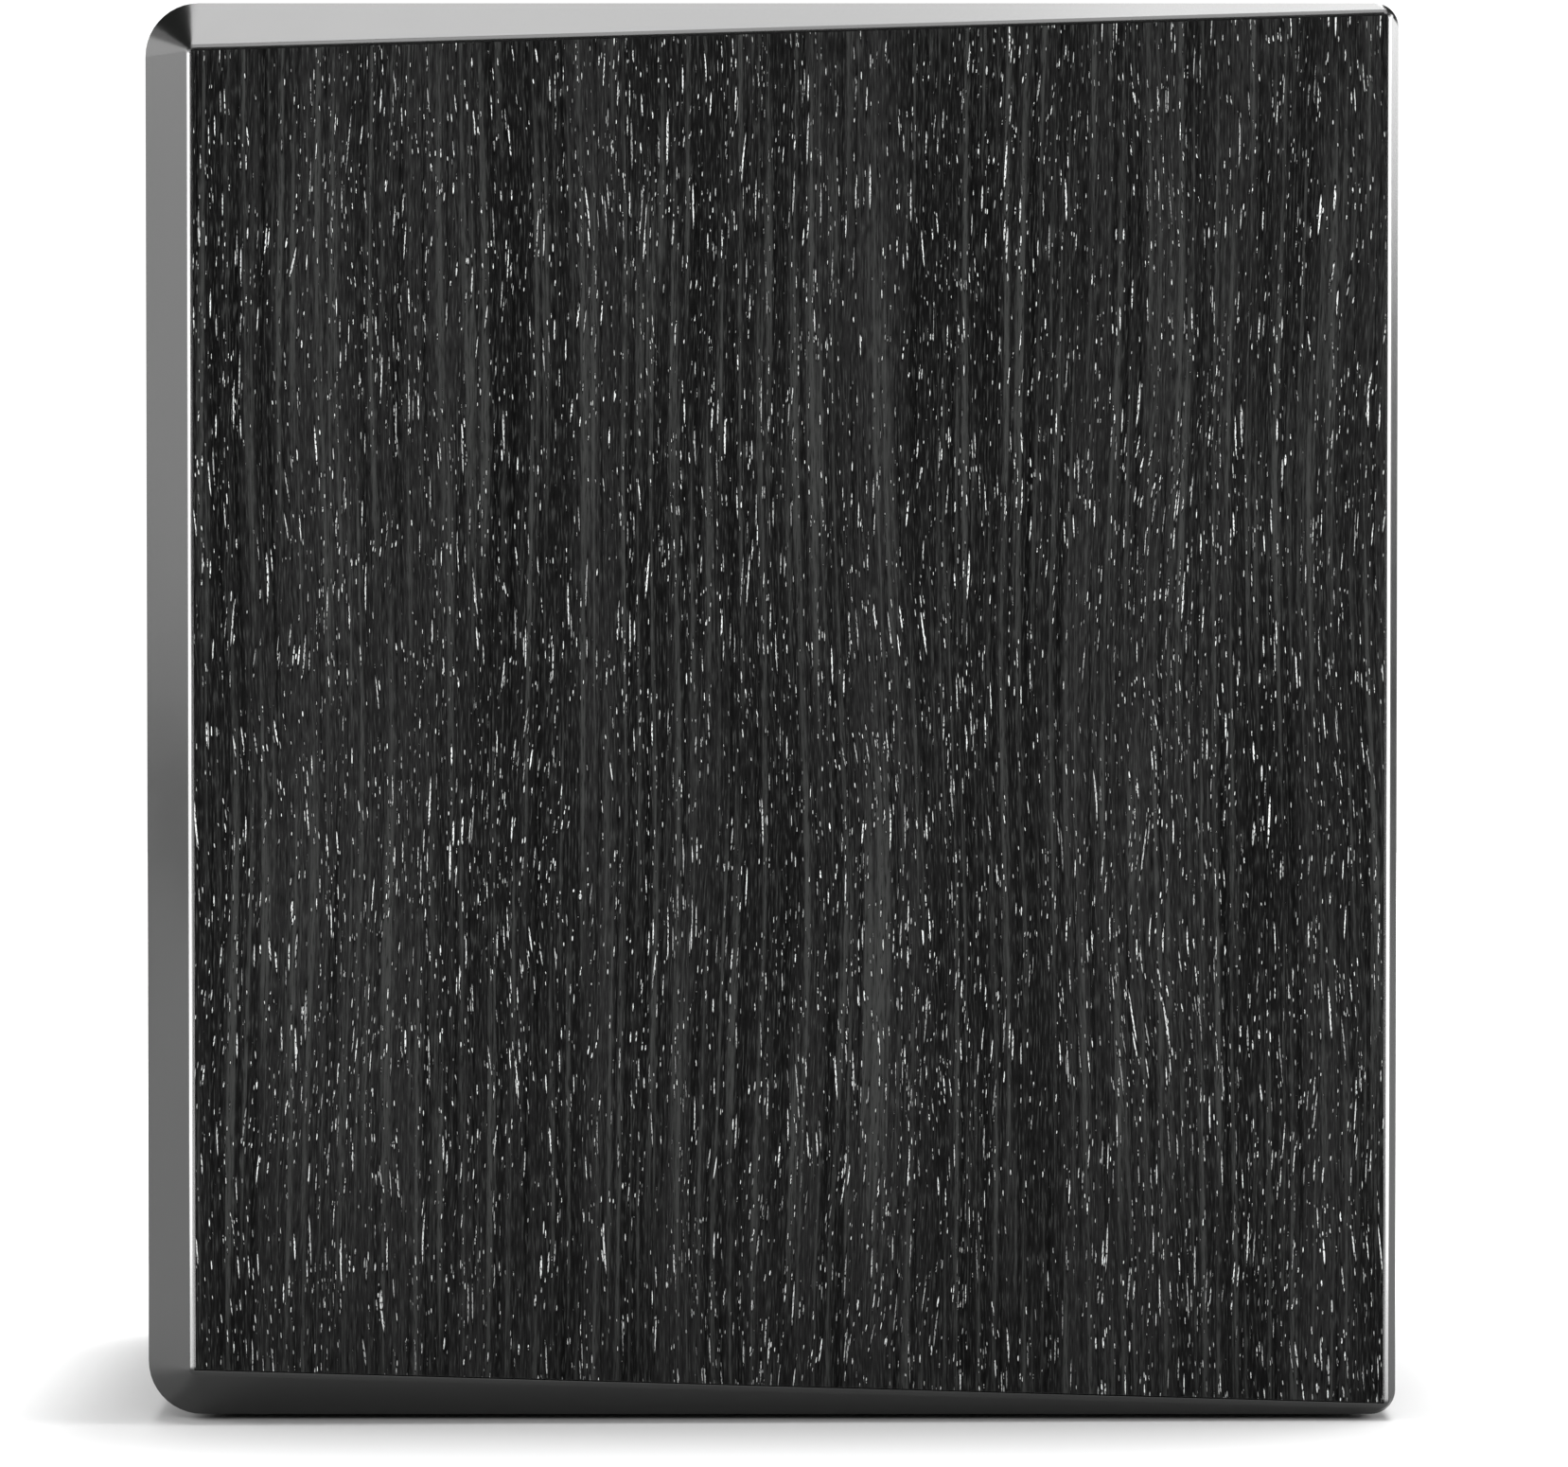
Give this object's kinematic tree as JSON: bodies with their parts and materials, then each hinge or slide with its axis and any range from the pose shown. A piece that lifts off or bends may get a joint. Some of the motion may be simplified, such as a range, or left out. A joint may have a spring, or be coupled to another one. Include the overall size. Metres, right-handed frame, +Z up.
{
  "type": "bookshelf speaker",
  "caption": "Two-way vented bookshelf speaker with tapering bevelled cheeks, black open-pore wood sides, a dome tweeter above a cone woofer, and screw terminals behind.",
  "frame": {"origin": "middle of the footprint, on the plane that the feet stand on", "axes": "+Z up, the front faces -Y, the terminals face +Y, +X is the width"},
  "size_m": [0.205, 0.31, 0.3515],
  "materials": {
    "lacquered_mdf": "black satin lacquer on fibreboard",
    "raw_mdf": "sanded fibreboard",
    "oak_veneer": "open-pore oak veneer stained black, pale pores",
    "rubber_foot": "matt",
    "plain_brass": "turned",
    "cast_aluminium": "die cast, black powder coat",
    "foam_seal": "closed-cell foam",
    "bright_aluminium": "turned and brushed",
    "nitrile_rubber": "moulded, satin",
    "woven_cone": "woven fibre in resin",
    "copper_winding": "enamelled copper wire",
    "treated_cotton": "resin-treated cloth",
    "plated_steel": "zinc plated",
    "ferrite": "sintered, ground",
    "black_steel": "black zinc",
    "tinned_brass": "tinned",
    "copper_braid": "braided",
    "anodised_aluminium": "black anodised",
    "coated_silk": "coated silk",
    "black_abs": "fine moulded texture",
    "plated_brass": "gold plated",
    "black_nylon": "moulded",
    "red_nylon": "moulded",
    "phenolic_board": "laminated board",
    "film_capacitor": "wrapped film",
    "ceramic_resistor": "cast ceramic",
    "black_insulation": "extruded",
    "red_insulation": "extruded",
    "polyester_wadding": "bonded fibre"
  },
  "bodies": {
    "cabinet": {"top_panel": "lacquered_mdf", "bottom_panel": "lacquered_mdf", "front_baffle": "lacquered_mdf", "rear_panel": "lacquered_mdf", "right_side_panel": "raw_mdf", "left_side_panel": "raw_mdf", "right_cheek": "lacquered_mdf", "left_cheek": "lacquered_mdf", "right_veneer": "oak_veneer", "left_veneer": "oak_veneer", "window_brace": "raw_mdf", "feet": "rubber_foot", "stand_inserts": "plain_brass", "woofer_basket": "cast_aluminium", "woofer_gasket": "foam_seal", "woofer_trim_ring": "bright_aluminium", "woofer_surround": "nitrile_rubber", "woofer_spider": "treated_cotton", "woofer_phase_plug": "bright_aluminium", "woofer_top_plate": "plated_steel", "woofer_magnet": "ferrite", "woofer_yoke": "plated_steel", "woofer_screws": "black_steel", "woofer_terminals": "tinned_brass", "woofer_leads": "copper_braid", "tweeter_faceplate": "anodised_aluminium", "tweeter_gasket": "foam_seal", "tweeter_suspension": "coated_silk", "tweeter_guard": "black_steel", "tweeter_top_plate": "plated_steel", "tweeter_magnet": "ferrite", "tweeter_yoke": "plated_steel", "tweeter_rear_chamber": "black_abs", "tweeter_screws": "black_steel", "tweeter_terminals": "tinned_brass", "port_tube": "black_abs", "port_inner_flare": "black_abs", "terminal_cup": "black_abs", "terminal_gasket": "foam_seal", "rear_screws": "black_steel", "binding_post_studs": "plated_brass", "collar_negative": "black_nylon", "collar_positive": "red_nylon", "post_nuts": "plated_brass", "crossover_board": "phenolic_board", "crossover_standoffs": "black_nylon", "crossover_coils": "copper_winding", "crossover_capacitors": "film_capacitor", "crossover_resistors": "ceramic_resistor", "wires_negative": "black_insulation", "wires_positive": "red_insulation", "wadding": "polyester_wadding"},
    "woofer_cone_assembly": {"woofer_cone": "woven_cone", "woofer_voice_coil": "copper_winding"},
    "tweeter_dome_assembly": {"tweeter_dome": "coated_silk", "tweeter_voice_coil": "copper_winding"},
    "washer_negative": {"clamp_washer_negative": "plated_brass"},
    "washer_positive": {"clamp_washer_positive": "plated_brass"},
    "cap_negative": {"binding_cap_negative": "plated_brass"},
    "cap_positive": {"binding_cap_positive": "plated_brass"}
  },
  "joints": [
    {"name": "woofer_excursion", "type": "slide", "parent": "cabinet", "child": "woofer_cone_assembly", "axis": [0, -1, 0], "range_m": [-0.005, 0.005], "stiffness_N_per_m": 900, "deforming": ["woofer_surround", "woofer_spider", "woofer_leads"]},
    {"name": "tweeter_excursion", "type": "slide", "parent": "cabinet", "child": "tweeter_dome_assembly", "axis": [0, -1, 0], "range_m": [-0.0003, 0.0003], "stiffness_N_per_m": 2000, "deforming": ["tweeter_suspension"]},
    {"name": "washer_travel_negative", "type": "slide", "parent": "cabinet", "child": "washer_negative", "axis": [0, 1, 0], "range_m": [0, 0.005]},
    {"name": "cap_turn_negative", "type": "hinge", "parent": "washer_negative", "child": "cap_negative", "pos_m": [-0.016, 0.1332, 0.0875], "axis": [0, 1, 0], "range_deg": [0, 1800]},
    {"name": "washer_travel_positive", "type": "slide", "parent": "cabinet", "child": "washer_positive", "axis": [0, 1, 0], "range_m": [0, 0.005]},
    {"name": "cap_turn_positive", "type": "hinge", "parent": "washer_positive", "child": "cap_positive", "pos_m": [0.016, 0.1332, 0.0875], "axis": [0, 1, 0], "range_deg": [0, 1800]}
  ],
  "couplings": [
    {"joint": "cap_turn_negative", "follows": "washer_travel_negative", "rad_per_m": 6283.2},
    {"joint": "cap_turn_positive", "follows": "washer_travel_positive", "rad_per_m": 6283.2}
  ]
}
